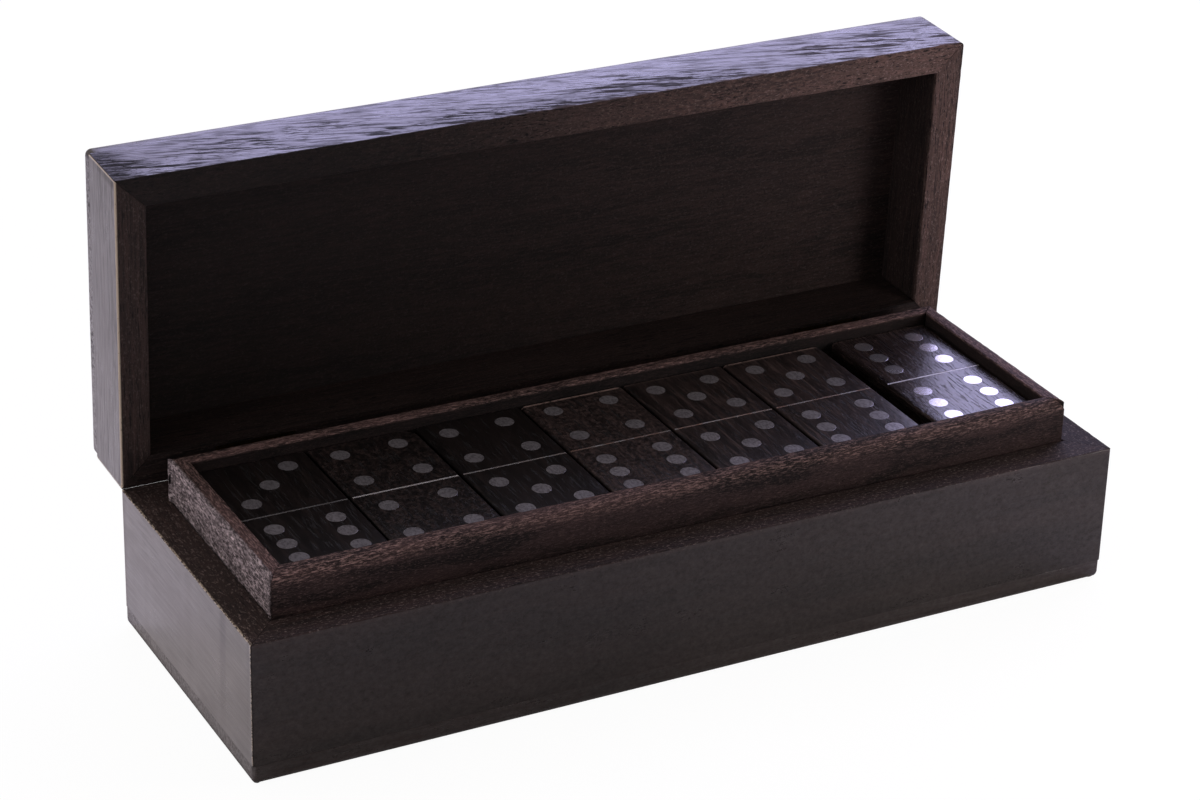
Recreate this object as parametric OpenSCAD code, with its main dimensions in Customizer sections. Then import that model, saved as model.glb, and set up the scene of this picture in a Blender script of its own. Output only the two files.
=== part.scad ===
// Domino storage box: a mitred hardwood case with a hinged lid, and a lining whose edge stands
// proud of the case as a lip. It holds a double-six set in four layers of seven dominoes.
// Millimetres. +X to the right, +Y towards the hinges, +Z up. Origin: centre of the underside.

/* [Dominoes] */
// Width of one domino
tile_w = 24.6; // [22:0.1:28]
// Length of one domino
tile_l = 46.8; // [44:0.1:54]
// Thickness of one domino
tile_t = 8.5; // [7:0.1:11]
// Radius of a domino's corners, seen from above
tile_corner_r = 1.1; // [0.6:0.1:2]
// Side gap between neighbouring dominoes
tile_gap = 0.25; // [0.15:0.05:0.6]
// Wider gap beside the last column, for a finger nail
nail_gap = 3.55; // [2:0.05:5]
// Gap between the outer columns and the lining
row_play = 0.3; // [0.2:0.05:0.8]
// Gap between a domino's end and the lining
end_play = 0.4; // [0.2:0.05:0.8]
// Gap under each layer
layer_gap = 0.1; // [0.05:0.05:0.3]
// How far the top layer lies below the edge of the lip
tile_drop = 2.7; // [1:0.1:5]

/* [Inlays] */
// Radius of a metal pip
pip_r = 2.1; // [1.4:0.1:2.4]
// Spacing of the pips across a domino
pip_step_x = 6.6; // [5.4:0.1:7]
// Spacing of the pips along a domino
pip_step_y = 6.2; // [5.2:0.1:6.6]
// How far each half's pattern lies beyond the quarter point
pip_shift = 0.4; // [0:0.1:0.8]
// Width of the metal strip across a domino
strip_w = 0.6; // [0.4:0.1:1.2]
// Depth of the pips and of the strip
inlay_t = 0.8; // [0.5:0.1:1.5]
// Clearance of the inlays at their sides and back
inlay_fit = 0.02; // [0.01:0.01:0.05]

/* [Case] */
// Thickness of the case's walls
wall_t = 7.5; // [7:0.1:10]
// Thickness of the bottom panel
floor_t = 4.5; // [3:0.1:8]
// Thickness of the lining strips
liner_t = 3.7; // [3:0.1:6]
// Height of the lip above the case's rim
lip_h = 9.6; // [6:0.1:11]
// Radius of the lip's upper outer edge
lip_round = 2; // [1:0.1:2.6]
// Radius of the walls' outer corners
corner_r = 1.2; // [0.5:0.1:3]
// Radius of the panels' outer corners
panel_corner_r = 2; // [0.5:0.1:3]

/* [Lid] */
// Thickness of the lid's panel
lid_panel_t = 3.5; // [2.5:0.1:6]
// Room between the lip and the lid's panel when the lid is shut
lid_headroom = 4.9; // [2:0.1:10]
// Clearance between the lip and the lid's walls
lid_play = 0.8; // [0.7:0.05:1.2]
// Seam between the lid and the case when the lid is shut
seam_gap = 0.1; // [0.05:0.05:0.3]
// Angle at which the lid rests against its stop
lid_open = 88; // [60:1:95]

/* [Hinges] */
// Length of one hinge
hinge_l = 18; // [14:0.5:24]
// Distance from the case's end to the middle of a hinge
hinge_inset = 30; // [20:0.5:50]
// Width of a hinge leaf, from the pin's axis
leaf_w = 5.6; // [5.2:0.1:6]
// Thickness of a hinge leaf
leaf_t = 0.9; // [0.8:0.05:1.2]
// Radius of the hinge barrel
barrel_r = 1.5; // [1.3:0.05:1.8]
// Radius of the hinge pin
pin_r = 0.6; // [0.5:0.05:0.8]
// Radial clearance of the pin in its knuckles
pin_fit = 0.05; // [0.02:0.01:0.1]
// Gap around the barrel, in the wood and beside the other leaf
barrel_play = 0.2; // [0.15:0.05:0.3]
// Gap between neighbouring knuckles
knuckle_gap = 0.15; // [0.1:0.05:0.3]
// Radius of a hinge screw's head
screw_head_r = 1.15; // [1:0.05:1.3]
// Radius of a hinge screw's shank
screw_r = 0.6; // [0.5:0.05:0.8]
// Length of a hinge screw
screw_l = 5; // [3:0.25:8]
// Distance from the middle of a hinge to each screw
screw_offset = 5.2; // [4:0.1:5.6]
// Radial clearance of a screw in the leaf and in the wood
screw_fit = 0.03; // [0.02:0.01:0.1]

/* [Hidden] */
$fn = 64;
// How far a cutter runs past the face that it opens
over = 1;
WOOD = [0.13, 0.105, 0.098];
WALL_WOOD = [0.16, 0.135, 0.125];
LIP_WOOD = [0.22, 0.165, 0.15];
METAL = [0.62, 0.63, 0.65];
BRASS = [0.55, 0.43, 0.22];

// A double-six set has 28 dominoes, so seven columns fill four layers
MOST_PIPS = 6;
COLUMNS = MOST_PIPS + 1;
SET = [for (a = [0:MOST_PIPS]) for (b = [a:MOST_PIPS]) [a, b]];
LAYERS = len(SET) / COLUMNS;
FIRST_ON_TOP = len(SET) - COLUMNS;

// The dominoes set the space inside the lining, and that sets the case
space_l = COLUMNS * tile_w + (COLUMNS - 2) * tile_gap + nail_gap + 2 * row_play;
space_d = tile_l + 2 * end_play;
lined_size = [space_l + 2 * liner_t, space_d + 2 * liner_t];
case_size = [lined_size[0] + 2 * wall_t, lined_size[1] + 2 * wall_t];
layer_h = tile_t + layer_gap;
lip_z = floor_t + LAYERS * layer_h + tile_drop;
liner_h = lip_z - floor_t;
case_h = lip_z - lip_h;

// The lid is drawn shut and then turned open about the hinge pins
lid_wall_t = wall_t - lid_play;
lid_wall_h = lip_h + lid_headroom - seam_gap;
lid_z = case_h + seam_gap;
hinge_y = case_size[1] / 2;
hinge_z = case_h + seam_gap / 2;
hinge_x = case_size[0] / 2 - hinge_inset;

knuckle_l = (hinge_l - 2 * knuckle_gap) / 3;
knuckle_pitch = knuckle_l + knuckle_gap;
barrel_room = barrel_r + barrel_play;
leaf_face = seam_gap / 2;
screw_y = (leaf_w + barrel_room) / 2;
screw_head_t = 0.7 * leaf_t;
screw_slot_w = 0.35 * screw_head_r;
screw_slot_t = 0.4 * screw_head_t;

SIDES = ["front", "right", "back", "left"];
HINGES = [["left", -hinge_x], ["right", hinge_x]];
CASE_NODES = concat(
    [for (side = SIDES) str("base_", side, "_wall")],
    ["base_bottom_panel"],
    [for (side = SIDES) str("liner_", side)],
    [for (h = HINGES) str("base_hinge_leaf_", h[0])],
    [for (h = HINGES) str("hinge_pin_", h[0])],
    ["base_hinge_screws"]);
LID_NODES = concat(
    [for (side = SIDES) str("lid_", side, "_wall")],
    ["lid_top_panel"],
    [for (h = HINGES) str("lid_hinge_leaf_", h[0])],
    ["lid_hinge_screws"]);
TILE_NODES = [for (k = [0:len(SET) - 1]) str("tile_", SET[k][0], "_", SET[k][1])];
INLAY_NODES = [for (k = [FIRST_ON_TOP:len(SET) - 1]) str("inlay_", SET[k][0], "_", SET[k][1])];

// ---- Boards ----

// How far a side of the frame is turned from the front
function turn_of(side) = side == "front" ? 0 : side == "right" ? 90 : side == "back" ? 180 : 270;
function faces_y(side) = side == "front" || side == "back";

module rounded_block(size, h, r) {
    translate([-size[0] / 2 + r, -size[1] / 2, 0]) cube([size[0] - 2 * r, size[1], h]);
    translate([-size[0] / 2, -size[1] / 2 + r, 0]) cube([size[0], size[1] - 2 * r, h]);
    for (x = [-1, 1], y = [-1, 1])
        translate([x * (size[0] / 2 - r), y * (size[1] / 2 - r), 0]) cylinder(r = r, h = h);
}

// One board of a mitred frame, drawn at the front: run is the frame's size along the board
module mitred_board(run, reach, t, h, r) {
    intersection() {
        rounded_block([run, reach], h, r);
        linear_extrude(h) polygon([
            [-run / 2, -reach / 2],
            [run / 2, -reach / 2],
            [run / 2 - t, t - reach / 2],
            [t - run / 2, t - reach / 2]]);
    }
}

module frame_board(side, size, t, h, r) {
    run = faces_y(side) ? size[0] : size[1];
    reach = faces_y(side) ? size[1] : size[0];
    rotate([0, 0, turn_of(side)]) mitred_board(run, reach, t, h, r);
}

// ---- Case ----

module base_wall(side) {
    color(WALL_WOOD) difference() {
        translate([0, 0, floor_t]) frame_board(side, case_size, wall_t, case_h - floor_t, corner_r);
        if (side == "back") at_hinges() hinge_recess();
    }
}

module base_bottom_panel() {
    color(WALL_WOOD) rounded_block(case_size, floor_t, panel_corner_r);
}

// Section of a lining strip: its outer face at x = 0, its upper outer edge rounded
module lip_section() {
    square([liner_t, liner_h - lip_round]);
    translate([lip_round, 0]) square([liner_t - lip_round, liner_h]);
    translate([lip_round, liner_h - lip_round]) circle(lip_round);
}

module liner(side) {
    run = faces_y(side) ? lined_size[0] : lined_size[1];
    reach = faces_y(side) ? lined_size[1] : lined_size[0];
    color(LIP_WOOD) translate([0, 0, floor_t]) rotate([0, 0, turn_of(side)]) intersection() {
        mitred_board(run, reach, liner_t, liner_h, corner_r);
        translate([0, -reach / 2, 0])
            rotate([90, 0, 90]) linear_extrude(run, center = true) lip_section();
    }
}

// ---- Lid ----

module opened() {
    translate([0, hinge_y, hinge_z]) rotate([-lid_open, 0, 0]) translate([0, -hinge_y, -hinge_z])
        children();
}

module lid_wall(side) {
    color(WALL_WOOD) opened() difference() {
        translate([0, 0, lid_z]) frame_board(side, case_size, lid_wall_t, lid_wall_h, corner_r);
        if (side == "back") at_hinges() upside_down() hinge_recess();
    }
}

module lid_top_panel() {
    color(WALL_WOOD) opened() translate([0, 0, lid_z + lid_wall_h])
        rounded_block(case_size, lid_panel_t, panel_corner_r);
}

// ---- Hinges, drawn about the pin's axis with the leaf below it ----

module at_hinge(x) {
    translate([x, hinge_y, hinge_z]) children();
}

module at_hinges() {
    for (h = HINGES) at_hinge(h[1]) children();
}

module upside_down() {
    mirror([0, 0, 1]) children();
}

module at_screws() {
    for (side = [-1, 1]) translate([side * screw_offset, -screw_y, -leaf_face]) children();
}

// A countersunk screw with its head's face at z = 0, grown by grow on its radius
module screw_body(grow) {
    translate([0, 0, -screw_head_t])
        cylinder(r1 = screw_r + grow, r2 = screw_head_r + grow, h = screw_head_t);
    translate([0, 0, -screw_l]) cylinder(r = screw_r + grow, h = screw_l);
}

module hinge_screw() {
    difference() {
        screw_body(0);
        translate([-screw_head_r, -screw_slot_w / 2, -screw_slot_t])
            cube([2 * screw_head_r, screw_slot_w, screw_slot_t + over]);
    }
}

module leaf_plate(x, l, inner) {
    translate([x - l / 2, -leaf_w, -leaf_face - leaf_t]) cube([l, leaf_w - inner, leaf_t]);
}

module along_pin(r, l) {
    rotate([0, 90, 0]) cylinder(r = r, h = l, center = true);
}

// The wood cut away for a leaf, for the barrel and for the screws
module hinge_recess() {
    leaf_plate(0, hinge_l, 0);
    translate([-hinge_l / 2, -leaf_w, -leaf_face - leaf_t / 2]) cube([hinge_l, leaf_w + over, over]);
    along_pin(barrel_room, hinge_l + 2 * barrel_play);
    at_screws() translate([0, 0, -screw_l]) cylinder(r = screw_r + screw_fit, h = screw_l);
}

// A leaf whose knuckles sit at the given places along the pin
module hinge_leaf(knuckles) {
    color(BRASS) difference() {
        union() {
            leaf_plate(0, hinge_l, barrel_room);
            for (x = knuckles) {
                leaf_plate(x, knuckle_l, 0);
                translate([x, 0, 0]) along_pin(barrel_r, knuckle_l);
            }
        }
        along_pin(pin_r + pin_fit, hinge_l + 2 * over);
        at_screws() screw_body(screw_fit);
        at_screws() cylinder(r = screw_head_r + screw_fit, h = over);
    }
}

module base_hinge_leaf(x) {
    at_hinge(x) hinge_leaf([-knuckle_pitch, knuckle_pitch]);
}

module lid_hinge_leaf(x) {
    opened() at_hinge(x) upside_down() hinge_leaf([0]);
}

module hinge_pin(x) {
    color(BRASS) at_hinge(x) along_pin(pin_r, hinge_l);
}

module base_hinge_screws() {
    color(BRASS) at_hinges() at_screws() hinge_screw();
}

module lid_hinge_screws() {
    color(BRASS) opened() at_hinges() upside_down() at_screws() hinge_screw();
}

// ---- Dominoes ----

// Middle of a column: the last one lies against the right-hand end
function column_x(i) = i == COLUMNS - 1
    ? space_l / 2 - row_play - tile_w / 2
    : -space_l / 2 + row_play + tile_w / 2 + i * (tile_w + tile_gap);

// Places of a number's pips, in steps from the middle of its half
function pips(n) = concat(
    n % 2 == 1 ? [[0, 0]] : [],
    n >= 2 ? [[1, 1], [-1, -1]] : [],
    n >= 4 ? [[-1, 1], [1, -1]] : [],
    n == 6 ? [[-1, 0], [1, 0]] : []);

// Puts its children at a domino's place in the box, with z = 0 at the domino's face
module at_place(k) {
    layer = floor(k / COLUMNS);
    translate([column_x(k % COLUMNS), 0, floor_t + (layer + 1) * layer_h]) children();
}

// The metal inlaid in a domino, grown by grow at its sides and back and by rise past its face
module inlay_shapes(k, grow, rise) {
    depth = inlay_t + grow;
    for (half = [0, 1])
        for (p = pips(SET[k][half]))
            translate([p[0] * pip_step_x,
                       (1 - 2 * half) * (tile_l / 4 + pip_shift) + p[1] * pip_step_y,
                       -depth])
                cylinder(r = pip_r + grow, h = depth + rise);
    translate([-tile_w / 2 - rise, -strip_w / 2 - grow, -depth])
        cube([tile_w + 2 * rise, strip_w + 2 * grow, depth + rise]);
}

module inlay(k) {
    color(METAL) at_place(k) inlay_shapes(k, 0, 0);
}

// The lower layers keep their inlays in the domino's own node
module tile(k) {
    color(WOOD) at_place(k) difference() {
        translate([0, 0, -tile_t]) rounded_block([tile_w, tile_l], tile_t, tile_corner_r);
        inlay_shapes(k, inlay_fit, over);
    }
    if (k < FIRST_ON_TOP) inlay(k);
}

// ---- Nodes ----

for (i = [0:3]) {
    base_wall(SIDES[i]);
    liner(SIDES[i]);
    lid_wall(SIDES[i]);
}
for (h = HINGES) {
    base_hinge_leaf(h[1]);
    lid_hinge_leaf(h[1]);
    hinge_pin(h[1]);
}
base_bottom_panel();
base_hinge_screws();
lid_top_panel();
lid_hinge_screws();
for (k = [0:len(SET) - 1])
    tile(k);
for (k = [FIRST_ON_TOP:len(SET) - 1])
    inlay(k);
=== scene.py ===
"""Domino storage box, dressed: mitred boards, a lining with a rounded lip, and a double-six set."""
import math
import random

import bpy
from mathutils import Matrix, Vector


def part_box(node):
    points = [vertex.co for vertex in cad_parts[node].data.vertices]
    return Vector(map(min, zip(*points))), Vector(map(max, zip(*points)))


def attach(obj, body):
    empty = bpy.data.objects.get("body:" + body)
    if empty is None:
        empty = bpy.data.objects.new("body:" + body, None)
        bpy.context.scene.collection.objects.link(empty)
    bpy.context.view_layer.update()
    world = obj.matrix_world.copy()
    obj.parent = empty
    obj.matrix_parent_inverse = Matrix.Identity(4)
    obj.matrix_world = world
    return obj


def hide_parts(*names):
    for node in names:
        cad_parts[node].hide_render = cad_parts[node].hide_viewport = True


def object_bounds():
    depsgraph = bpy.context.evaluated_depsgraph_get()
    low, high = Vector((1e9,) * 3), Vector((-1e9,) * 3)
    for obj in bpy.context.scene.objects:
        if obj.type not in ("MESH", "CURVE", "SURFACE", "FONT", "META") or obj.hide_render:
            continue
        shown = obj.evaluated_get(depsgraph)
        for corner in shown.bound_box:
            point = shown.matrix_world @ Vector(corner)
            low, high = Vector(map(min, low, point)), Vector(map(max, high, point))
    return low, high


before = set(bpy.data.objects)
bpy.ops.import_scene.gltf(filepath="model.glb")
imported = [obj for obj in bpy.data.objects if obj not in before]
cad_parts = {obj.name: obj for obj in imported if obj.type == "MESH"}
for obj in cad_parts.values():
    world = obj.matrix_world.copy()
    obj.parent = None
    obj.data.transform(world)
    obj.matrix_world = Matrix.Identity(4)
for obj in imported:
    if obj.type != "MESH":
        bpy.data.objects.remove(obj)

cad_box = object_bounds()
MM = 0.001
NEAR = MM / 100  # nearer than this is the same place

# ---------------------------------------------------------------- sizes

case_low, case_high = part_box("base_bottom_panel")
floor_top = case_high[2]
rim_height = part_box("base_front_wall")[1][2]
lip_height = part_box("liner_front")[1][2]
lining_low, left_lining_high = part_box("liner_left")
lining_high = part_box("liner_right")[1]
wall_thick = lining_low[0] - case_low[0]
lining_thick = left_lining_high[0] - lining_low[0]

SEAM = 0.05 * MM  # from the rim up to the middle of the hinge pins
hinge_at = Vector((0, case_high[1], rim_height + SEAM))
lid_turn = math.radians(88)


def shut(point):
    """Where a point of the open lid lies when the lid is shut."""
    return Matrix.Rotation(lid_turn, 4, "X") @ (Vector(point) - hinge_at) + hinge_at


def shut_box(node):
    """Lowest and highest corner of one of the lid's CAD nodes when the lid is shut."""
    points = [shut(v.co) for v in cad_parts[node].data.vertices]
    low = Vector([min(p[i] for p in points) for i in range(3)])
    high = Vector([max(p[i] for p in points) for i in range(3)])
    return low, high


lid_low, lid_high = shut_box("lid_front_wall")
lid_wall_thick = lid_high[1] - lid_low[1]
lid_panel_low, lid_panel_high = shut_box("lid_top_panel")

# ---------------------------------------------------------------- modelling


def pick(piece):
    """Makes the piece the active one, and the only one selected."""
    bpy.ops.object.select_all(action="DESELECT")
    piece.select_set(True)
    bpy.context.view_layer.objects.active = piece


def apply_place(piece):
    """Moves the piece's place, turn and size into its mesh."""
    pick(piece)
    bpy.ops.object.transform_apply(location=True, rotation=True, scale=True)


def started(name):
    """Names the primitive that has just been added, and puts its place in its mesh."""
    piece = bpy.context.active_object
    piece.name = name
    piece.data.name = name
    apply_place(piece)
    return piece


def block(name, low, high):
    """A cuboid between two corners."""
    bpy.ops.object.select_all(action="DESELECT")
    low, high = Vector(low), Vector(high)
    bpy.ops.mesh.primitive_cube_add(size=1, location=(low + high) / 2, scale=high - low)
    return started(name)


def edit(piece, kind, chosen):
    """Goes to edit mode with only the points, edges or faces selected that pass the test."""
    pick(piece)
    bpy.ops.object.mode_set(mode="EDIT")
    bpy.ops.mesh.select_mode(type=kind)
    bpy.ops.mesh.select_all(action="DESELECT")
    bpy.ops.object.mode_set(mode="OBJECT")
    mesh = piece.data
    points = mesh.vertices
    if kind == "VERT":
        for v in points:
            v.select = chosen(v.co)
    if kind == "EDGE":
        for e in mesh.edges:
            a, b = points[e.vertices[0]].co, points[e.vertices[1]].co
            e.select = chosen((a + b) / 2, (b - a).normalized())
    if kind == "FACE":
        for f in mesh.polygons:
            f.select = chosen(f.center, f.normal)
    bpy.ops.object.mode_set(mode="EDIT")


def done():
    bpy.ops.object.mode_set(mode="OBJECT")


def along(direction, axis):
    return abs(direction[axis]) > 0.999


def bevel(piece, chosen, width, segments):
    edit(piece, "EDGE", chosen)
    bpy.ops.mesh.bevel(offset=width, segments=segments, affect="EDGES")
    done()


def cut(piece, point, normal):
    """Saws the piece at a plane and throws away the side that the normal points to."""
    pick(piece)
    bpy.ops.object.mode_set(mode="EDIT")
    bpy.ops.mesh.select_all(action="SELECT")
    bpy.ops.mesh.bisect(plane_co=point, plane_no=normal, use_fill=True, clear_outer=True)
    done()


def divide(piece, chosen, cuts):
    """Divides the edges that pass the test."""
    edit(piece, "EDGE", chosen)
    bpy.ops.mesh.subdivide(number_cuts=cuts)
    done()


def face_outwards(piece):
    edit(piece, "FACE", lambda c, n: True)
    bpy.ops.mesh.normals_make_consistent(inside=False)
    done()


def modify(piece, kind, **settings):
    """Adds a modifier and applies it."""
    pick(piece)
    modifier = piece.modifiers.new(kind.title(), kind)
    for key, value in settings.items():
        setattr(modifier, key, value)
    bpy.ops.object.modifier_apply(modifier=modifier.name)


def unevenness(name, size):
    """Bumps of about the given size, for wear()."""
    texture = bpy.data.textures.new(name, "CLOUDS")
    texture.noise_scale = size
    texture.noise_depth = 2
    return texture


WARP = unevenness("slow_warp", 28 * MM)
NICKS = unevenness("small_nicks", 1.7 * MM)
FUZZ = unevenness("raised_fibres", 0.8 * MM)


def off_hinge_line(point):
    """True for a point that isn't on the back face, where case and lid meet at the hinges."""
    return point[1] < case_high[1] - MM


def wear(piece, texture, depth, where=None):
    """Lowers the surface by up to the given depth, never raises it."""
    group = piece.vertex_groups.new(name="worn")
    points = [v.index for v in piece.data.vertices if where is None or where(v.co)]
    group.add(points, 1, "REPLACE")
    modify(piece, "DISPLACE", texture=texture, texture_coords="LOCAL", strength=depth, mid_level=1,
           vertex_group="worn")
    piece.vertex_groups.clear()


def smooth(piece, degrees=17):
    """Shades smoothly across the edges that turn less than the given angle."""
    pick(piece)
    bpy.ops.object.shade_smooth_by_angle(angle=math.radians(degrees))


# Which way each side of the box faces, and which way its boards run.
SIDES = {"front": ((0, -1), (1, 0)), "right": ((1, 0), (0, 1)),
         "back": ((0, 1), (-1, 0)), "left": ((-1, 0), (0, -1))}
CORNER_CUTS = (7.5, 22.5, 37.5)  # degrees out of the board's face


def mitred_board(name, side, low, high, thick, corner, roundings, pitch, rows=0):
    """One board of a four-sided frame between low and high.
    corner: radius in millimetres of the frame's corners at the front left, front right and back.
    roundings: radius and segments at the lower inner, lower outer, upper outer, upper inner edge.
    pitch: millimetres between its cross lines. rows: how many lines run along its outer face."""
    out = Vector(SIDES[side][0] + (0,))
    run = Vector(SIDES[side][1] + (0,))
    low, high = Vector(low), Vector(high)
    middle = (low + high) / 2
    half = (high - low) / 2
    reach = abs(out.dot(half))
    length = 2 * abs(run.dot(half))
    face = middle + out * reach
    start = face - out * thick / 2 - run * length / 2
    height = high[2] - low[2]
    bpy.ops.object.select_all(action="DESELECT")
    upright = Matrix((out, Vector((0, 0, 1)), out.cross(Vector((0, 0, 1))))).transposed()
    bpy.ops.mesh.primitive_plane_add(size=1, location=start, rotation=upright.to_euler())
    bpy.context.active_object.scale = (thick, height, 1)
    piece = started(name)

    inner = start - out * thick / 2
    outer = start + out * thick / 2
    foot, head = Vector((0, 0, low[2])), Vector((0, 0, high[2]))
    inner_flat, outer_flat = inner.xy.to_3d(), outer.xy.to_3d()
    corners = [inner_flat + foot, outer_flat + foot, outer_flat + head, inner_flat + head]
    for place, (radius, segments) in zip(corners, roundings):
        if radius:
            edit(piece, "VERT", lambda p: (p - place).length < NEAR)
            bpy.ops.mesh.bevel(offset=radius * MM, segments=segments, affect="VERTICES")
            done()
    if rows:
        divide(piece, lambda m, d: along(d, 2) and (m - outer).dot(out) > -NEAR, rows)
    edit(piece, "FACE", lambda c, n: True)
    bpy.ops.mesh.extrude_region_move(TRANSFORM_OT_translate={"value": run * length})
    done()
    divide(piece, lambda m, d: abs(d.dot(run)) > 0.999, int(length / (pitch * MM)))
    face_outwards(piece)

    for end in (-1, 1):
        tip = face + run * end * length / 2
        cut(piece, tip, (run * end - out).normalized())
        radius = corner[2 if tip[1] > middle[1] else 1 if tip[0] > middle[0] else 0] * MM
        hub = tip - out * radius - run * end * radius
        for degrees in CORNER_CUTS:
            turn = math.radians(degrees)
            lean = out * math.cos(turn) + run * end * math.sin(turn)
            cut(piece, hub + lean * radius, lean)
    face_outwards(piece)
    return piece


def panel(name, low, high, corner, outer_z, rounding):
    """A flat panel whose outer face, at z = outer_z, has rounded edges.
    corner, rounding: radius in millimetres of its upright corners and of those edges."""
    piece = block(name, low, high)
    for axis, cuts in ((0, 64), (1, 21)):
        divide(piece, lambda m, d: along(d, axis), cuts)
    low, high = Vector(low), Vector(high)

    def at_edge(m, axis):
        return min(m[axis] - low[axis], high[axis] - m[axis]) < NEAR

    bevel(piece, lambda m, d: along(d, 2) and at_edge(m, 0) and at_edge(m, 1), corner * MM, 6)

    def rim(m, d, z):
        if abs(m[2] - z) > NEAR:
            return False
        if at_edge(m, 0) and along(d, 1) or at_edge(m, 1) and along(d, 0):
            return True
        return not (along(d, 0) or along(d, 1))

    bevel(piece, lambda m, d: rim(m, d, outer_z), rounding * MM, 6)
    inner_z = low[2] if outer_z == high[2] else high[2]
    bevel(piece, lambda m, d: rim(m, d, inner_z), 0.06 * MM, 1)
    return piece


def open_lid(piece):
    """Turns a piece of the lid, modelled shut, to where the lid rests."""
    piece.rotation_euler = (-lid_turn, 0, 0)
    piece.location = hinge_at - Matrix.Rotation(-lid_turn, 3, "X") @ hinge_at
    apply_place(piece)


def copy(piece, name):
    """A copy with a mesh of its own."""
    twin = piece.copy()
    twin.data = piece.data.copy()
    twin.name = name
    twin.data.name = name
    bpy.context.scene.collection.objects.link(twin)
    return twin


def join(pieces, name):
    """Makes one piece of several."""
    bpy.ops.object.select_all(action="DESELECT")
    for piece in pieces:
        piece.select_set(True)
    bpy.context.view_layer.objects.active = pieces[0]
    bpy.ops.object.join()
    apply_place(pieces[0])
    pieces[0].name = name
    pieces[0].data.name = name
    return pieces[0]


def carve(piece, cutter):
    """Takes the cutter's shape out of the piece, and the cutter away."""
    modify(piece, "BOOLEAN", operation="DIFFERENCE", solver="EXACT", object=cutter)
    bpy.data.objects.remove(cutter)


# ---------------------------------------------------------------- shader maths


class Shade:
    """A socket of a finish's node tree. Maths on it adds nodes."""

    def __init__(self, finish, socket):
        self.finish = finish
        self.socket = socket

    def _math(self, operation, first, second=None, clamp=False):
        sockets = {0: first} if second is None else {0: first, 1: second}
        settings = {"operation": operation, "use_clamp": clamp}
        return self.finish.add("ShaderNodeMath", settings, sockets)

    def __add__(self, other):
        return self._math("ADD", self, other)

    __radd__ = __add__

    def __sub__(self, other):
        return self._math("SUBTRACT", self, other)

    def __rsub__(self, other):
        return self._math("SUBTRACT", other, self)

    def __mul__(self, other):
        return self._math("MULTIPLY", self, other)

    __rmul__ = __mul__

    def __abs__(self):
        return self._math("ABSOLUTE", self)

    def larger(self, other):
        return self._math("MAXIMUM", self, other)

    def limited(self):
        """Kept from 0 to 1."""
        return self._math("ADD", self, 0, clamp=True)

    def between(self, low, high):
        """0 below low, 1 above high, smooth in between. With low above high, the other way round."""
        settings = {"interpolation_type": "SMOOTHSTEP"}
        return self.finish.add("ShaderNodeMapRange", settings, {"Value": self, 1: low, 2: high})

    def output(self, name):
        return Shade(self.finish, self.socket.node.outputs[name])


class Finish:
    """A material, or the world, under construction."""

    def __init__(self, name, world=False):
        self.material = (bpy.data.worlds if world else bpy.data.materials).new(name)
        self.material.use_nodes = True
        self.tree = self.material.node_tree
        self.tree.nodes.clear()

    def add(self, kind, settings=None, sockets=None, output=0):
        node = self.tree.nodes.new(kind)
        for key, value in (settings or {}).items():
            setattr(node, key, value)
        for key, value in (sockets or {}).items():
            if isinstance(value, Shade):
                self.tree.links.new(value.socket, node.inputs[key])
            else:
                node.inputs[key].default_value = value
        return Shade(self, node.outputs[output])

    def mix(self, factor, a, b):
        """Colour a where the factor is 0, colour b where it is 1."""
        a, b = [c if isinstance(c, Shade) else tuple(c) + (1,) for c in (a, b)]
        return self.add("ShaderNodeMix", {"data_type": "RGBA"}, {0: factor, 6: a, 7: b}, output=2)

    def tint(self, colour, strength):
        """A colour scaled by a value."""
        return self.add("ShaderNodeVectorMath", {"operation": "SCALE"}, {0: colour, 3: strength})

    def noise(self, vector, scale, detail=2, roughness=0.5, distortion=0):
        """Noise whose scale is how many times it changes in a millimetre along each axis."""
        scaled = self.add("ShaderNodeVectorMath", {"operation": "MULTIPLY"}, {0: vector, 1: scale})
        return self.add("ShaderNodeTexNoise", {"noise_dimensions": "3D"},
                        {"Vector": scaled, "Scale": 1, "Detail": detail, "Roughness": roughness,
                         "Distortion": distortion})

    def place(self, turned=(0, 0, 0), shift=(0, 0, 0)):
        """Object coordinates in millimetres, turned and moved."""
        here = self.add("ShaderNodeTexCoord", output=3)
        return self.add("ShaderNodeMapping", {"vector_type": "POINT"},
                        {"Vector": here, "Location": shift, "Rotation": turned,
                         "Scale": (1000, 1000, 1000)})

    def axes(self, vector):
        split = self.add("ShaderNodeSeparateXYZ", None, {0: vector})
        return split, split.output(1), split.output(2)

    def shader(self, height, **sockets):
        """A Principled shader. height is the relief in millimetres."""
        inputs = {key.replace("_", " "): value for key, value in sockets.items()}
        inputs["Normal"] = self.add("ShaderNodeBump", None,
                                    {"Strength": 1, "Distance": MM, "Height": height})
        return self.add("ShaderNodeBsdfPrincipled", None, inputs)

    def surface(self, height, **sockets):
        """Ends the material with one Principled shader."""
        self.add_output(self.shader(height, **sockets))
        return self.material

    def two_surfaces(self, factor, first, second):
        """Ends the material with the first shader where the factor is 0, the second where it is 1."""
        self.add_output(self.add("ShaderNodeMixShader", None, {0: factor, 1: first, 2: second}))
        return self.material

    def add_output(self, shader, kind="Material"):
        end = self.tree.nodes.new("ShaderNodeOutput" + kind)
        self.tree.links.new(shader.socket, end.inputs["Surface"])


# ---------------------------------------------------------------- finishes


def in_case(finish):
    """Millimetres in the frame, for the pieces of the case."""
    return finish.place()


def in_lid(finish):
    """Millimetres in the frame as they are with the lid shut, for the pieces of the lid."""
    turned = Matrix.Rotation(lid_turn, 3, "X")
    shift = (hinge_at - turned @ hinge_at) / MM
    return finish.place((lid_turn, 0, 0), tuple(shift))


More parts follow.
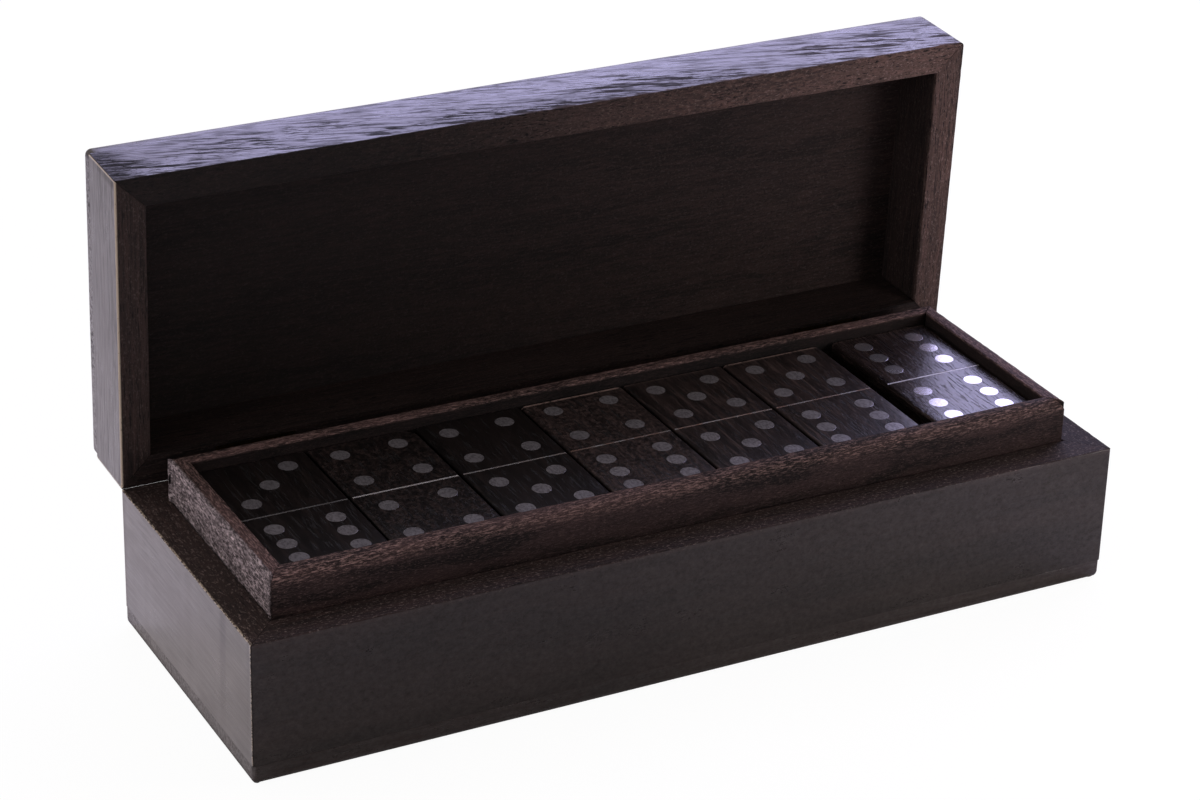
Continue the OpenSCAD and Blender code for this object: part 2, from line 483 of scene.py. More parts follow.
def fibres(finish, place, axis, seed, slant=0):
    """Coordinates with X along the fibres, each board's own. slant: degrees out of the board's line."""
    x, y, z = finish.axes(place)
    if slant:
        turn = math.radians(slant)
        x, z = x * math.cos(turn) - z * math.sin(turn), x * math.sin(turn) + z * math.cos(turn)
    order = (x, y, z) if axis == 0 else (y, x, z)
    lined_up = finish.add("ShaderNodeCombineXYZ", None, dict(enumerate(order)))
    return finish.add("ShaderNodeVectorMath", {"operation": "ADD"},
                      {0: lined_up, 1: (37.1 * seed, 11.3 * seed, 23.7 * seed)})


def pores(finish, grain, length, width, low, high):
    """1 in the open pores, which are short dashes along the fibres."""
    dashes = finish.noise(grain, (1 / length, 1 / width, 1 / width), 2, 0.6)
    return dashes.between(low, high)


def box_wood(name, axis, seed, where, rim=None, slant=0, worn=0, porous=1, pale=0, tone=(1, 1),
             lacquer=1, left_end=0):
    """Near-black hardwood, lacquered on the box's outer faces and left bare elsewhere.
    rim: height in millimetres of the bare edge that meets the other half of the box.
    slant: degrees between the fibres and the board's line.
    worn: how far the sharp edges are rubbed down to paler wood, painted paler still as a highlight.
    porous: how open the grain is.
    pale: how many pale flecks the bare wood has. tone: painted light, the bare wood's brightness at the
    left and right end; below the rim the inner faces get painted shade.
    lacquer: how much of it is left on the outer faces. left_end: how much of it is lost there."""
    finish = Finish(name)
    place = where(finish)
    grain = fibres(finish, place, axis, seed, slant)
    x, y, z = finish.axes(place)
    half_x, half_y = cad_box[1][0] / MM, case_high[1] / MM
    ragged = finish.noise(grain, (0.3, 1.3, 1.3), 3, 0.6)
    speckle = finish.noise(grain, (1.3, 2.6, 2.6), 3, 0.75)
    at_end = abs(x).between(half_x - 0.6, half_x - 0.3)
    at_side = abs(y).between(half_y - 0.6, half_y - 0.3)
    outside = abs(x).between(half_x - 1.1, half_x - 0.7)
    outside = outside.larger(abs(y).between(half_y - 1.1, half_y - 0.7))
    arris = at_end * at_side
    if where is in_lid:
        top = lid_panel_high[2] / MM
        outside = outside.larger(z.between(top - 1.2, top - 0.8))
    painted_shade_inside = handled = thumbed = 0
    if rim is not None:
        depth = (z - rim) if where is in_lid else (rim - z)
        outside = outside * (depth + ragged * 0.3).between(0.3, 0.5)
        arris = arris + depth.between(0.45, 0.2) * at_end.larger(at_side)
        # Painted shade: the bare inner faces below the rim are darkened.
        painted_shade_inside = depth.between(0.5, 1.5)
        handled = depth.between(15, 1)
        thumbed = depth.between(10, 1) * abs(x - 10).between(65, 15) * (0.4 + speckle)

    figure = finish.noise(grain, (0.014, 0.12, 0.12), 4, 0.55, 0.4).between(0.3, 0.7)
    lines = finish.noise(grain, (0.05, 1.4, 1.4), 3, 0.65)
    ripple = finish.noise(grain, (0.11, 1.25, 1.25), 2, 0.6, 0.3)
    flecks = finish.noise(grain, (1.2, 2.3, 2.3), 2, 0.75)
    soiled = finish.noise(grain, (0.025, 0.08, 0.08), 4, 0.6).between(0.42, 0.66)
    soiled = (soiled * (0.5 + handled) + 0.3 * handled).limited()
    dashes = pores(finish, grain, 4, 0.35, 0.56, 0.64) * (0.3 + 0.7 * soiled)
    lifted = ripple.between(0.48, 0.6) * (0.35 + 0.65 * soiled)
    open_grain = dashes.larger(lifted) + speckle.between(0.55, 0.7) * soiled * 0.7 + 0.45 * thumbed
    if left_end:
        open_grain = open_grain + x.between(9 - half_x, 2 - half_x) * (left_end + speckle - 0.5)
    open_grain = open_grain.limited() * porous
    # Edges rubbed down to paler wood; their very pale colours are also a painted highlight along them.
    worn_edge_and_highlight = arris * speckle.between(0.75 - worn, 0.85 - worn)

    lacquered = finish.mix(figure, (0.016, 0.0100, 0.0088), (0.030, 0.0190, 0.0168))
    lacquered = finish.mix(speckle.between(0.45, 0.7) * 0.6, lacquered, (0.04, 0.026, 0.0225))
    lacquered = finish.mix(worn_edge_and_highlight, lacquered, (0.42, 0.35, 0.27))
    blotch = finish.noise(grain, (0.05, 0.09, 0.09), 3, 0.6)
    matt = 0.21 + 0.2 * blotch + (0.04 + 0.16 * porous) * (ripple - 0.5) + 0.08 * (speckle - 0.5)
    varnish = finish.shader(lines * 0.05 + ripple * (0.02 + 0.13 * porous), Base_Color=lacquered,
                            Roughness=matt, Coat_Weight=0.25, Coat_Roughness=0.22,
                            Specular_IOR_Level=0.6)

    bare = finish.mix(figure, (0.012, 0.0078, 0.0068), (0.028, 0.0175, 0.015))
    bare = finish.mix(lines.between(0.4, 0.7) * 0.7, bare, (0.045, 0.026, 0.022))
    bare = finish.mix(speckle.between(0.44, 0.32), bare, (0.003, 0.0022, 0.002))
    dusty = flecks.between(0.52, 0.74) * (0.25 + pale) * (1 - 0.6 * outside)
    bare = finish.mix(dusty, bare, (0.16, 0.122, 0.11))
    bare = finish.mix(dashes * (1 - (1 - porous) * outside), bare, (0.003, 0.002, 0.002))
    # Painted light and shade: tone brightens the bare wood from one end to the other, and the inner
    # faces below the rim are painted darker.
    if tone != (1, 1):
        light = tone[0] + (tone[1] - tone[0]) * x.between(-0.6 * half_x, 1.1 * half_x)
        bare = finish.tint(bare, light * (1 - 0.72 * painted_shade_inside))
    bare = finish.mix(worn_edge_and_highlight, bare, (0.5, 0.42, 0.32))
    sanded = finish.shader(lines * 0.05 + speckle * 0.16 + flecks * 0.06, Base_Color=bare,
                           Roughness=0.6 + 0.25 * speckle, Specular_IOR_Level=0.25)
    if lacquer < 1:
        mottle = finish.noise(grain, (0.8, 1.0, 1.0), 2, 0.8)
        lacquer = lacquer * (1 + 1.6 * (mottle - 0.5))
    return finish.two_surfaces(outside * lacquer * (1 - open_grain), sanded, varnish)


def lip_wood(name, axis, seed, crown, tone, paler_left_end=0, rough_end=0):
    """Unlacquered wood of the lining: reddish, with raised fibres.
    crown: how far down the painted light on the top reaches, in millimetres. tone: brightness
    of the face, which is painted shade, and of the top, which is painted light. paler_left_end: how
    much paler the left end is.
    rough_end: whether the strip's outer face is coarsely sawn; its pale colour there is partly a
    painted sheen."""
    finish = Finish(name)
    place = in_case(finish)
    grain = fibres(finish, place, axis, seed)
    x, _, z = finish.axes(place)
    bands = finish.noise(grain, (0.03, 0.2, 0.2), 4, 0.6, 0.5).between(0.38, 0.62)
    fuzz = finish.noise(grain, (0.6, 3.6, 3.6), 3, 0.75)
    hairs = finish.noise(grain, (1.4, 4.2, 4.2), 2, 0.7)
    top = lip_height / MM
    # Painted light on the top band, whose fuzz is paler there as a painted highlight; tone paints the
    # face below it darker, as painted shade.
    painted_lit_top = z.between(top - crown, top - 0.2 * crown)
    colour = finish.mix(bands, (0.005, 0.0031, 0.0029), (0.034, 0.0196, 0.0183))
    colour = finish.mix(fuzz.between(0.45, 0.7) * (0.18 + 0.42 * painted_lit_top), colour, (0.27, 0.175, 0.155))
    colour = finish.mix(hairs.between(0.58, 0.75) * 0.5, colour, (0.2, 0.13, 0.118))
    colour = finish.mix(hairs.between(0.42, 0.3), colour, (0.006, 0.004, 0.0035))
    light = tone[0] + (tone[1] - tone[0]) * painted_lit_top
    if paler_left_end:
        light = light * (1 + paler_left_end * x.between(-40, -95))
    colour = finish.tint(colour, light)
    height = fuzz * 0.1 + hairs * 0.1
    roughness = 0.62 + 0.25 * fuzz
    if rough_end:
        end = lining_low[0] / MM
        face = x.between(end + 0.9, end + 0.6)
        pits = finish.noise(grain, (0.8, 2.1, 2.1), 4, 0.85).between(0.58, 0.38)
        coarse = finish.noise(grain, (0.25, 0.5, 1.2), 2, 0.5).between(0.3, 0.65)
        # The sawn face's very pale colour is partly a painted sheen.
        sawn_face_and_sheen = finish.mix(pits * (0.45 + 0.55 * coarse), (0.05, 0.037, 0.038), (0.78, 0.65, 0.65))
        colour = finish.mix(face, colour, sawn_face_and_sheen)
        height = height + face * pits * 0.2
    return finish.surface(height, Base_Color=colour, Roughness=roughness, Specular_IOR_Level=0.25)


# Near black: the dark grain and pebbles, and the painted shade in the gaps along the dominoes' long
# sides.
DARK_GRAIN_AND_GAP_SHADE = (0.002, 0.0015, 0.0015)


def domino_wood(name, seed, tone, polish, middle, end, pebbled=0):
    """Close-grained dark wood, waxed. tone: 0 for the darkest dominoes, 1 for the palest.
    polish: 1 for a face that mirrors the light. pebbled: 1 for a face with raised, blotchy grain.
    middle, end: x of the domino's middle and y of its far end, in millimetres."""
    finish = Finish(name)
    place = in_case(finish)
    grain = fibres(finish, place, 1, seed)
    x, y, _ = finish.axes(place)
    figure = finish.noise(grain, (0.02, 0.35, 0.35), 3, 0.6, 0.3).between(0.3, 0.7)
    streaks = pores(finish, grain, 5, 0.5, 0.56, 0.66)
    threads = finish.noise(grain, (0.12, 1.5, 1.5), 2, 0.6)
    speckle = finish.noise(grain, (0.7, 1.6, 1.6), 3, 0.7)
    dark = [c * (1 + 1.3 * tone) for c in (0.003, 0.0021, 0.0019)]
    light = [c * (1 + 2.4 * tone) for c in (0.010, 0.0067, 0.006)]
    pale = [c * (1 + 1.8 * tone) for c in (0.035, 0.024, 0.0215)]
    colour = finish.mix(figure, dark, light)
    pebbles = finish.noise(grain, (0.9, 1.1, 1.1), 2, 0.6)
    threaded = threads.between(0.5, 0.7) * (0.8 - 0.6 * pebbled) * (0.5 + 0.5 * tone)
    colour = finish.mix(threaded, colour, pale)
    colour = finish.mix(speckle.between(0.52, 0.75) * (0.2 + 0.6 * tone), colour, pale)
    colour = finish.mix(pebbles.between(0.5, 0.68) * 0.7 * pebbled, colour, pale)
    colour = finish.mix(pebbles.between(0.48, 0.36) * 0.8 * pebbled, colour, DARK_GRAIN_AND_GAP_SHADE)
    colour = finish.mix(streaks * (1 - 0.5 * polish), colour, DARK_GRAIN_AND_GAP_SHADE)
    # The far end of the pale dominoes is rubbed paler; its pale colour is partly a painted highlight.
    worn_edge_and_highlight = y.between(end - 1.3, end - 0.7) * speckle.between(0.35, 0.5) * tone ** 6
    colour = finish.mix(worn_edge_and_highlight, colour, (0.4, 0.28, 0.24))
    roughness = 0.32 - 0.14 * polish + 0.14 * speckle + (0.3 - 0.16 * polish) * streaks
    height = speckle * (0.02 + 0.08 * tone) - streaks * 0.04 + threads * 0.02 + pebbles * 0.2 * pebbled
    waxed = finish.shader(height, Base_Color=colour, Roughness=roughness,
                          Specular_IOR_Level=0.62 + 0.2 * polish)
    # Painted shade: a dull black strip along each domino's long sides, where the gaps between dominoes
    # are dark.
    gap_shade = finish.shader(height, Base_Color=DARK_GRAIN_AND_GAP_SHADE + (1,), Roughness=1, Specular_IOR_Level=0)
    gap_shade_mask = abs(x - middle).between(11.8, 12.3) * (1 - 0.6 * polish)
    return finish.two_surfaces(gap_shade_mask, waxed, gap_shade)


def inlay_metal(name, seed, warm_reflection, polish, painted_brightness):
    """Soft grey metal, sanded flush with the wood. warm_reflection: how much of the strip has reddish
    patches, a painted reflection of warm wood. polish: 1 for pips that mirror the light.
    painted_brightness: how bright the strip is, a painted reflection."""
    finish = Finish(name)
    place = in_case(finish)
    grain = fibres(finish, place, 1, seed)
    _, y, _ = finish.axes(place)
    sanding = finish.noise(grain, (0.5, 7, 7), 3, 0.6)
    tarnish = finish.noise(grain, (0.16, 0.16, 0.16), 3, 0.6)
    grit = finish.noise(grain, (1.3, 2.0, 2.0), 2, 0.7)
    dull, bright = [[c * (0.9 + 0.5 * polish) for c in grey]
                    for grey in ((0.34, 0.33, 0.35), (0.6, 0.58, 0.61))]
    pip = finish.mix(tarnish, dull, bright)
    pip = finish.mix(grit.between(0.6, 0.35) * (0.7 - 0.5 * polish), pip, (0.15, 0.14, 0.15))
    strip = abs(y).between(0.6, 0.4)
    # Painted reflection: the strip's brightness and its reddish patches stand for the warm wood that it
    # mirrors.
    warm_reflection_patches = finish.noise(grain, (0.3, 0.3, 0.3), 2, 0.6)
    steel, warm_reflection_colour = [[c * painted_brightness for c in metal] for metal in ((0.9, 0.9, 0.9), (0.7, 0.44, 0.34))]
    line = finish.mix(warm_reflection_patches.between(0.35, 0.65) * warm_reflection, steel, warm_reflection_colour)
    colour = finish.mix(strip, pip, line)
    roughness = 0.3 - 0.15 * polish + 0.12 * tarnish + 0.08 * sanding + 0.27 * strip
    height = sanding * (0.01 + 0.12 * strip) + grit * 0.05 * (1 - polish)
    dulled = (0.33 - 0.2 * polish) * (1 - strip)
    return finish.surface(height, Base_Color=colour, Roughness=roughness, Metallic=1 - dulled)


def dark_brass():
    finish = Finish("dark_brass")
    place = finish.place()
    spots = finish.noise(place, (0.5, 0.5, 0.5), 4, 0.65)
    draw = finish.noise(place, (0.2, 6, 6), 2, 0.6)
    colour = finish.mix(spots.between(0.4, 0.7), (0.13, 0.085, 0.04), (0.03, 0.022, 0.015))
    return finish.surface(draw * 0.01, Base_Color=colour, Roughness=0.3 + 0.3 * spots, Metallic=1)


def give(piece, material, body, replaced):
    """Finishes a piece, hangs it on the body it rides on, and hides the CAD part that it replaces."""
    piece.data.materials.clear()
    piece.data.materials.append(material)
    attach(piece, body)
    if replaced:
        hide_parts(replaced)


# ---------------------------------------------------------------- case

# Each board's and domino's grain is cut from its own place in the wood.
CASE_SEED, LIP_SEED, LID_SEED, DOMINO_SEED, METAL_SEED = 1, 21, 41, 61, 91
BOTTOM_SEED, LID_PANEL_SEED = 9, 51
BOARD_PITCH = 1.4  # millimetres between the cross lines of a board, and of a strip of the lip
STRIP_PITCH = 0.8
SEAT_DEPTH = 5.6 * MM
SEAT_HALF_HEIGHT = 0.95 * MM
KNUCKLE_RADIUS = 1.7 * MM
KNUCKLE_ROOM = 0.4 * MM


def hinge_seats(lid):
    """What the hinges take out of the back boards, in the shut position."""
    cutters = []
    for side in ("left", "right"):
        leaf = ("lid" if lid else "base") + "_hinge_leaf_" + side
        low, high = shut_box(leaf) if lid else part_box(leaf)
        middle = (low[0] + high[0]) / 2
        long = high[0] - low[0]
        cutter = block("seat", (low[0], case_high[1] - SEAT_DEPTH, hinge_at[2] - SEAT_HALF_HEIGHT),
                       (high[0], case_high[1] + 2 * MM, hinge_at[2] + SEAT_HALF_HEIGHT))
        cutters.append(cutter)
        bpy.ops.object.select_all(action="DESELECT")
        bpy.ops.mesh.primitive_cylinder_add(vertices=48, radius=KNUCKLE_RADIUS,
                                            depth=long + KNUCKLE_ROOM,
                                            location=(middle, hinge_at[1], hinge_at[2]),
                                            rotation=(0, math.pi / 2, 0))
        cutters.append(started("seat"))
    return cutters


# Radius and number of segments of the boards' long edges.
NONE = (0, 0)
CASE_EDGES = (NONE, NONE, (0.3, 2), (0.15, 1))
BACK_EDGES = (NONE, NONE, NONE, (0.15, 1))
RUN_AXIS = {"front": 0, "back": 0, "left": 1, "right": 1}
wall_low = Vector((case_low[0], case_low[1], floor_top))
wall_high = Vector((case_high[0], case_high[1], rim_height))
for seed, side in enumerate(SIDES):
    board = mitred_board("case_%s_board" % side, side, wall_low, wall_high, wall_thick,
                         (0.4, 0.5, 0.5), BACK_EDGES if side == "back" else CASE_EDGES, BOARD_PITCH)
    wear(board, WARP, 0.02 * MM, off_hinge_line)
    wear(board, NICKS, 0.14 * MM, lambda p: p[2] > rim_height - MM and off_hinge_line(p))
    if side == "back":
        for seat in hinge_seats(lid=False):
            carve(board, seat)
    smooth(board)
    # tone paints light on the bare rim and ledge: a little brighter at the left end.
    wood = box_wood("case_wood_" + side, RUN_AXIS[side], seed + CASE_SEED, in_case,
                    rim_height / MM, worn=0.3 if side == "left" else 0,
                    porous=0.02 if side == "front" else 0.12, pale=0.75, tone=(1.25, 1.05),
                    lacquer=0.55 if side == "front" else 1)
    give(board, wood, "case", "base_%s_wall" % side)

bottom = panel("case_bottom_panel", case_low, case_high, 0.9, case_low[2], 1.7)
wear(bottom, WARP, 0.06 * MM, off_hinge_line)
smooth(bottom)
bottom_wood = box_wood("case_wood_bottom", 0, BOTTOM_SEED, in_case, porous=0.5, lacquer=0.75)
give(bottom, bottom_wood, "case", "base_bottom_panel")

LIP_EDGES = {"front": (NONE, NONE, (2.9, 8), (0.5, 3)), "right": (NONE, NONE, (1.2, 4), (0.5, 3)),
             "back": (NONE, NONE, (1.0, 4), (0.5, 3)), "left": (NONE, NONE, (0.6, 3), (0.4, 3))}
# Painted shade on each strip's face and painted light on its top: the brightness of the face and of the
# top.
LIP_PAINTED_LIGHT = {"front": (0.95, 1.8), "right": (0.4, 2.0), "back": (0.4, 2.5), "left": (0.4, 2.2)}
strip_low = Vector((lining_low[0], lining_low[1], floor_top))
strip_high = Vector((lining_high[0], lining_high[1], lip_height))
for seed, side in enumerate(SIDES):
    strip = mitred_board("lip_%s_strip" % side, side, strip_low, strip_high, lining_thick,
                         (0.4, 0.6, 0.4), LIP_EDGES[side], STRIP_PITCH, rows=30)
    wear(strip, WARP, 0.2 * MM)
    wear(strip, FUZZ, 0.16 * MM)
    smooth(strip, 60)
    wood = lip_wood("lip_wood_" + side, RUN_AXIS[side], seed + LIP_SEED,
                    4.2 if side == "front" else 0.9, LIP_PAINTED_LIGHT[side],
                    paler_left_end=0.6 if side == "front" else 0, rough_end=side == "left")
    give(strip, wood, "case", "liner_" + side)

# ---------------------------------------------------------------- lid

# Painted light on each lid board's bare wood: its brightness at the left and right end.
LID_PAINTED_LIGHT = {"front": (0.4, 4.6), "right": (1, 3.8), "back": (1, 1), "left": (1.3, 1)}
LID_EDGES = ((0.2, 1), (0.3, 2), NONE, NONE)
NO_EDGES = (NONE, NONE, NONE, NONE)
frame_low = Vector((case_low[0], case_low[1], lid_low[2]))
frame_high = Vector((case_high[0], case_high[1], lid_high[2]))
BACK_PROUD = 0.06 * MM
back_high = frame_high + Vector((0, BACK_PROUD, 0))
for seed, side in enumerate(SIDES):
    board = mitred_board("lid_%s_board" % side, side, frame_low,
                         back_high if side == "back" else frame_high, lid_wall_thick,
                         (0.3, 1.4, 0.4), NO_EDGES if side == "back" else LID_EDGES, BOARD_PITCH)
    wear(board, WARP, 0.02 * MM, off_hinge_line)
    wear(board, NICKS, 0.12 * MM, lambda p: p[2] < lid_low[2] + MM and off_hinge_line(p))
    if side == "back":
        for seat in hinge_seats(lid=True):
            carve(board, seat)
    smooth(board)
    open_lid(board)
    wood = box_wood("lid_wood_" + side, RUN_AXIS[side], seed + LID_SEED, in_lid, lid_low[2] / MM,
                    slant=13 if side == "front" else 0, worn=0.45 if side == "left" else 0,
                    porous=0.3 if side == "left" else 1, tone=LID_PAINTED_LIGHT[side],
                    left_end=0.55 if side == "front" else 0)
    give(board, wood, "lid", "lid_%s_wall" % side)

lid_panel = panel("lid_panel", lid_panel_low, lid_panel_high, 1.4, lid_panel_high[2], 1.5)
wear(lid_panel, WARP, 0.12 * MM)
smooth(lid_panel)
open_lid(lid_panel)
# tone paints light: the panel's bare inner face darker at the left end than at the right.
panel_wood = box_wood("lid_wood_panel", 0, LID_PANEL_SEED, in_lid, slant=6, tone=(0.45, 1.15))
give(lid_panel, panel_wood, "lid", "lid_top_panel")

# ---------------------------------------------------------------- dominoes

PIP_R = 2.1 * MM
PIP_STEP = (6.6 * MM, 6.2 * MM)
STRIP_W = 0.5 * MM
STRIP_END = 0.45 * MM  # from the domino's side to the strip's end
SLOT_END = 0.42 * MM
INLAY_T = 0.8 * MM
SUNK = 0.02 * MM  # how far the metal lies below the wood
ROOM = 0.03 * MM  # round the metal
PIP_SHIFT = 0.4 * MM  # from the middle of each half, away from the strip
SCATTER = 0.12  # millimetres that a pip may lie off its place
PATTERNS = {0: [], 1: [(0, 0)], 2: [(1, 1), (-1, -1)], 3: [(0, 0), (1, 1), (-1, -1)],
            4: [(1, 1), (-1, -1), (-1, 1), (1, -1)],
            5: [(0, 0), (1, 1), (-1, -1), (-1, 1), (1, -1)],
            6: [(1, 1), (-1, -1), (-1, 1), (1, -1), (-1, 0), (1, 0)]}


def blank(name, radii):
    """A domino without its metal, centred on the origin with its face at z = 0.
    radii: of the corners back right, back left, front left and front right, in millimetres."""
    low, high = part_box("tile_3_6")
    half = (Vector(high) - Vector(low)) / 2
    piece = block(name, (-half[0], -half[1], -2 * half[2]), (half[0], half[1], 0))
    for (sx, sy), radius in zip(((1, 1), (-1, 1), (-1, -1), (1, -1)), radii):
        corner = (half[0] * 0.9, half[1] * 0.9)
        bevel(piece, lambda m, d: along(d, 2) and m[0] * sx > corner[0] and m[1] * sy > corner[1],
              radius * MM, 6)
    for z, radius, segments in ((0, 0.7, 5), (-2 * half[2], 0.3, 2)):
        bevel(piece, lambda m, d: abs(m[2] - z) < NEAR and abs(d[2]) < 0.01, radius * MM, segments)
    return piece


def disc(name, radius, depth, top, rounding):
    """A short upright cylinder whose upper face lies at z = top."""
    bpy.ops.object.select_all(action="DESELECT")
    bpy.ops.mesh.primitive_cylinder_add(vertices=36, radius=radius, depth=depth,
                                        location=(0, 0, top - depth / 2))
    piece = started(name)
    if rounding:
        bevel(piece, lambda m, d: abs(m[2] - top) < NEAR, rounding, 2)
    return piece


crisp_blank = blank("crisp_blank", (1.1, 1.0, 1.2, 1.0))
soft_blank = blank("soft_blank", (1.5, 1.3, 1.2, 1.6))
worn_blank = blank("worn_blank", (3.4, 1.2, 1.3, 1.2))
pip = disc("pip", PIP_R, INLAY_T, -SUNK, 0.05 * MM)
socket = disc("pip_socket", PIP_R + ROOM, INLAY_T + MM, MM - ROOM, 0)

# What sets each domino of the upper layer apart: see domino_wood and inlay_metal.
TONES = {(3, 6): 0.02, (4, 4): 0.3, (4, 5): 0.0, (4, 6): 1.05, (5, 5): 0.75, (5, 6): 0.95,
         (6, 6): 0.7}
BLANKS = {(4, 4): worn_blank, (4, 6): soft_blank, (5, 6): soft_blank}
PEBBLED = {(4, 4): 1, (4, 6): 0.8}
# Painted reflection on each domino's metal strip: how bright it is, and how much of it is reddish.
PAINTED_STRIP_BRIGHTNESS = {(3, 6): 0.3, (4, 4): 0.9, (4, 5): 0.5, (4, 6): 0.5, (5, 5): 0.6, (5, 6): 0.5, (6, 6): 0.8}
PAINTED_WARM_REFLECTION = {(5, 5): 1.0, (5, 6): 0.9, (4, 5): 0.35, (4, 6): 0.9}
pairs = [(a, b) for a in range(7) for b in range(a, 7)]
for number, pair in enumerate(pairs):
    dice = random.Random(100 + number)
    node = "tile_%d_%d" % pair
    low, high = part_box(node)
    spot = Vector(((low[0] + high[0]) / 2, (low[1] + high[1]) / 2, high[2]))
    half_length = (high[1] - low[1]) / 2
    wood = copy(BLANKS.get(pair, crisp_blank), "domino_%d_%d" % pair)
    wood.location = spot
    apply_place(wood)

    metal, cutters = [], []
    for end, count in zip((1, -1), pair):
        for px, py in PATTERNS[count]:
            offset = Vector((px * PIP_STEP[0] + dice.uniform(-SCATTER, SCATTER) * MM,
                             end * (half_length / 2 + PIP_SHIFT) + py * PIP_STEP[1]
                             + dice.uniform(-SCATTER, SCATTER) * MM, 0))
            for source, gathered in ((pip, metal), (socket, cutters)):
                twin = copy(source, "inlay_part")
                twin.location = spot + offset
                gathered.append(twin)
    wide = (high[0] - low[0]) / 2
    strip = block("inlay_part", spot + Vector((-wide + STRIP_END, -STRIP_W / 2, -INLAY_T)),
                  spot + Vector((wide - STRIP_END, STRIP_W / 2, -SUNK)))
    bevel(strip, lambda m, d: abs(m[2] - spot[2] + SUNK) < NEAR and along(d, 0), 0.05 * MM, 1)
    metal.append(strip)
    slot_low = Vector((-wide + SLOT_END, -STRIP_W / 2 - ROOM, -INLAY_T - ROOM))
    slot_high = Vector((wide - SLOT_END, STRIP_W / 2 + ROOM, MM))
    cutters.append(block("slot", spot + slot_low, spot + slot_high))
    carve(wood, join(cutters, "sockets") if len(cutters) > 1 else cutters[0])
    smooth(wood)
    tone = TONES.get(pair, dice.uniform(0.05, 0.8))
    polish = 1 if pair == (6, 6) else 0.2
    waxed = domino_wood("domino_wood_%d_%d" % pair, number + DOMINO_SEED, tone, polish,
                        spot[0] / MM, high[1] / MM, PEBBLED.get(pair, 0))
    give(wood, waxed, node, node)
    inlay = join(metal, "pips_%d_%d" % pair) if len(metal) > 1 else metal[0]
    inlay.name = inlay.data.name = "pips_%d_%d" % pair
    smooth(inlay)
    grey = inlay_metal("inlay_metal_%d_%d" % pair, number + METAL_SEED, PAINTED_WARM_REFLECTION.get(pair, 0.15),
                       polish, PAINTED_STRIP_BRIGHTNESS.get(pair, 0.6))
    inlay_node = "inlay_%d_%d" % pair
    give(inlay, grey, node, inlay_node if inlay_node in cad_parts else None)

for spare in (crisp_blank, soft_blank, worn_blank, pip, socket):
    bpy.data.objects.remove(spare)

# ---------------------------------------------------------------- hinges

brass = dark_brass()
for name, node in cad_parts.items():
    if "hinge" in name:
        node.data.materials.clear()
        node.data.materials.append(brass)

# ---------------------------------------------------------------- floor, lights and camera


def floor():
    """White to the camera, and grey enough elsewhere to keep the shadow."""
    bpy.ops.object.select_all(action="DESELECT")
    bpy.ops.mesh.primitive_plane_add(size=6, location=(0, 0, case_low[2]))
    plane = started("floor")
    finish = Finish("white_floor")
    rays = finish.add("ShaderNodeLightPath")
    shaded = finish.add("ShaderNodeBsdfDiffuse", None, {"Color": (0.86, 0.86, 0.86, 1)})
    white = finish.add("ShaderNodeEmission", None, {"Color": (1, 1, 1, 1), "Strength": 1.06})
    share = rays.output("Is Camera Ray") * 0.9 + rays.output("Is Glossy Ray") * 0.06
    mixed = finish.add("ShaderNodeMixShader", None, {0: share, 1: shaded, 2: white})
    finish.add_output(mixed)
    plane.data.materials.append(finish.material)


floor()


def studio():
    """White to the camera; otherwise a room that is light behind the box and dim in front of it."""
    room = Finish("studio", world=True)
    bpy.context.scene.world = room.material
    towards = room.add("ShaderNodeTexCoord")
    _, y, z = room.axes(towards)
    light = 0.11 + 0.47 * (y + 0.35 * z).between(-0.35, 0.9)
    camera_ray = room.add("ShaderNodeLightPath").output("Is Camera Ray")
    strength = camera_ray + (1 - camera_ray) * light
    colour = room.mix(camera_ray, (1, 0.9, 0.9), (1, 1, 1))
    sky = room.add("ShaderNodeBackground", None, {"Color": colour, "Strength": strength})
    room.add_output(sky, "World")


studio()


def softbox(name, at, aim, size, radiance, colour):
    """An area light of the given radiance that faces a point."""
    bpy.ops.object.select_all(action="DESELECT")
    at, aim = Vector(at), Vector(aim)
    turn = (aim - at).to_track_quat("-Z", "Y").to_euler()
    bpy.ops.object.light_add(type="AREA", location=at, rotation=turn)
    lamp = bpy.context.active_object
    lamp.name = name
    lamp.data.shape = "RECTANGLE"
    lamp.data.size, lamp.data.size_y = size
    lamp.data.energy = radiance * size[0] * size[1] * math.pi
    lamp.data.color = colour
    lamp.visible_camera = False


TABLE_LIGHT_HEIGHT = 0.0006


def table_light(name, x, y, size, radiance, colour):
    """An area light that lies on the floor and faces up, for the gloss of the box's sides."""
    softbox(name, (x, y, TABLE_LIGHT_HEIGHT), (x, y, 1), size, radiance, colour)


def around(azimuth, elevation, distance):
    """A point seen from the box at an azimuth from +Y towards +X, in degrees and metres."""
    a, e = math.radians(azimuth), math.radians(elevation)
    return Vector((math.sin(a) * math.cos(e), math.cos(a) * math.cos(e), math.sin(e))) * distance


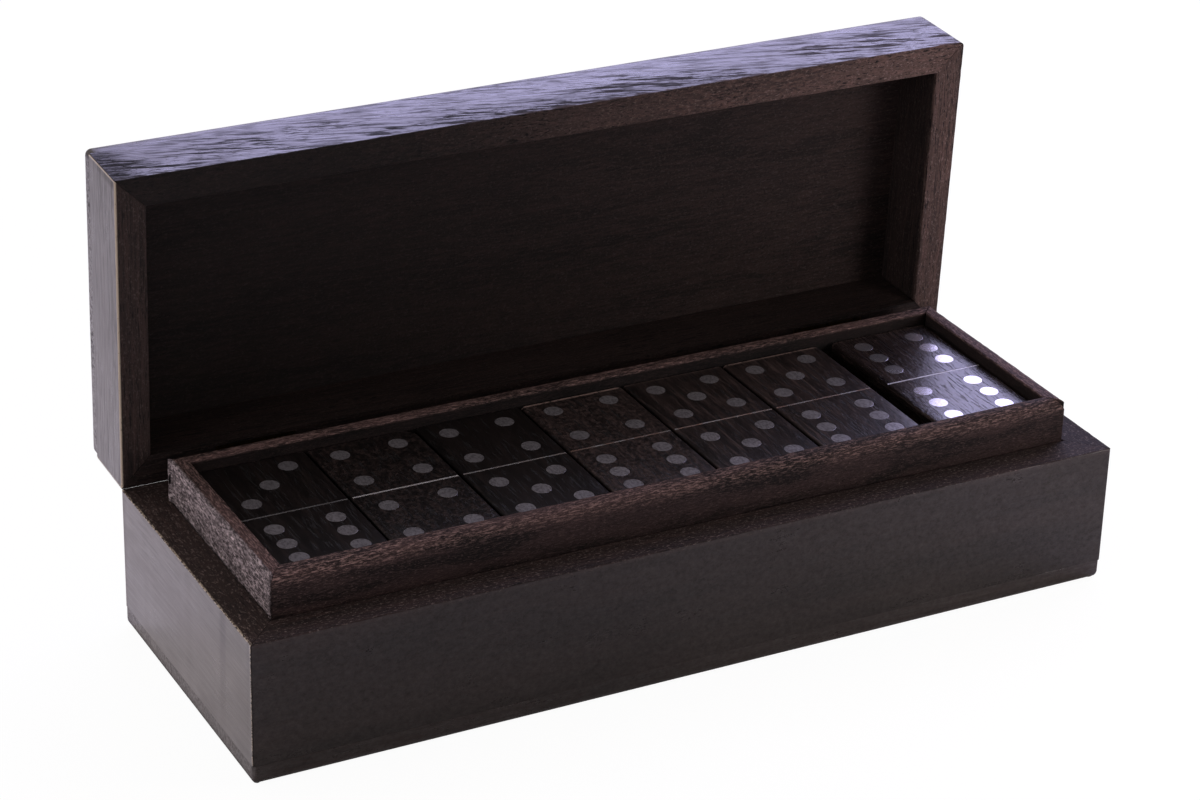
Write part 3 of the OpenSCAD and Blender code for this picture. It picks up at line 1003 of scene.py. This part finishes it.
CENTRE = Vector((0, 0, 0.05))
softbox("back_right_softbox", CENTRE + around(44, 30, 1.2), CENTRE, (1.25, 0.7), 3.25,
        (0.58, 0.56, 1.0))
for start, radiance in ((-0.2, 0.37), (-0.03, 0.08), (0, 0.08), (0.03, 0.08), (0.06, 0.08)):
    table_light("left_table_light", -0.2295, start + 0.25, (0.258, 0.5), radiance, (1, 0.9, 0.95))
softbox("left_side_light", (-0.8, -0.1, 0.25), (-0.1, 0, 0.05), (0.5, 0.5), 2, (1, 0.95, 1))
for start in (0, 0.05, 0.1):
    table_light("right_table_light", start + 0.15, -0.15, (0.3, 0.226), 0.05, (1, 0.88, 0.82))
softbox("right_side_light", (0.23, -0.22, 0.11), (0.06, 0, 0.06), (0.1, 0.1), 8, (1, 0.9, 0.9))
softbox("front_fill", CENTRE + around(200, 40, 1.3), CENTRE, (0.8, 0.6), 0.15, (1, 0.9, 0.88))

SENSOR = 36
PICTURE_WIDTH = 1200
FOCAL_LENGTH = 3414.848  # in the picture's pixels
CAMERA_TURN = (28.367, -26.317, 1.818)  # degrees of yaw, pitch and roll
CAMERA_PLACE = (-310.043, -561.335, 365.081)

camera_data = bpy.data.cameras.new("camera")
camera = bpy.data.objects.new("camera", camera_data)
bpy.context.scene.collection.objects.link(camera)
camera_data.sensor_fit = "HORIZONTAL"
camera_data.sensor_width = SENSOR
camera_data.lens = FOCAL_LENGTH / PICTURE_WIDTH * SENSOR
camera_data.clip_start = 0.01
yaw, pitch, roll = [math.radians(v) for v in CAMERA_TURN]
ahead = Vector((math.sin(yaw) * math.cos(pitch), math.cos(yaw) * math.cos(pitch), math.sin(pitch)))
level = Vector((math.cos(yaw), -math.sin(yaw), 0))
upward = level.cross(ahead)
right = level * math.cos(roll) + upward * math.sin(roll)
up = upward * math.cos(roll) - level * math.sin(roll)
looking = Matrix((right, up, -ahead)).transposed().to_4x4()
camera.matrix_world = Matrix.Translation(Vector(CAMERA_PLACE) * MM) @ looking
bpy.context.scene.camera = camera
bpy.context.scene.view_settings.view_transform = "Standard"
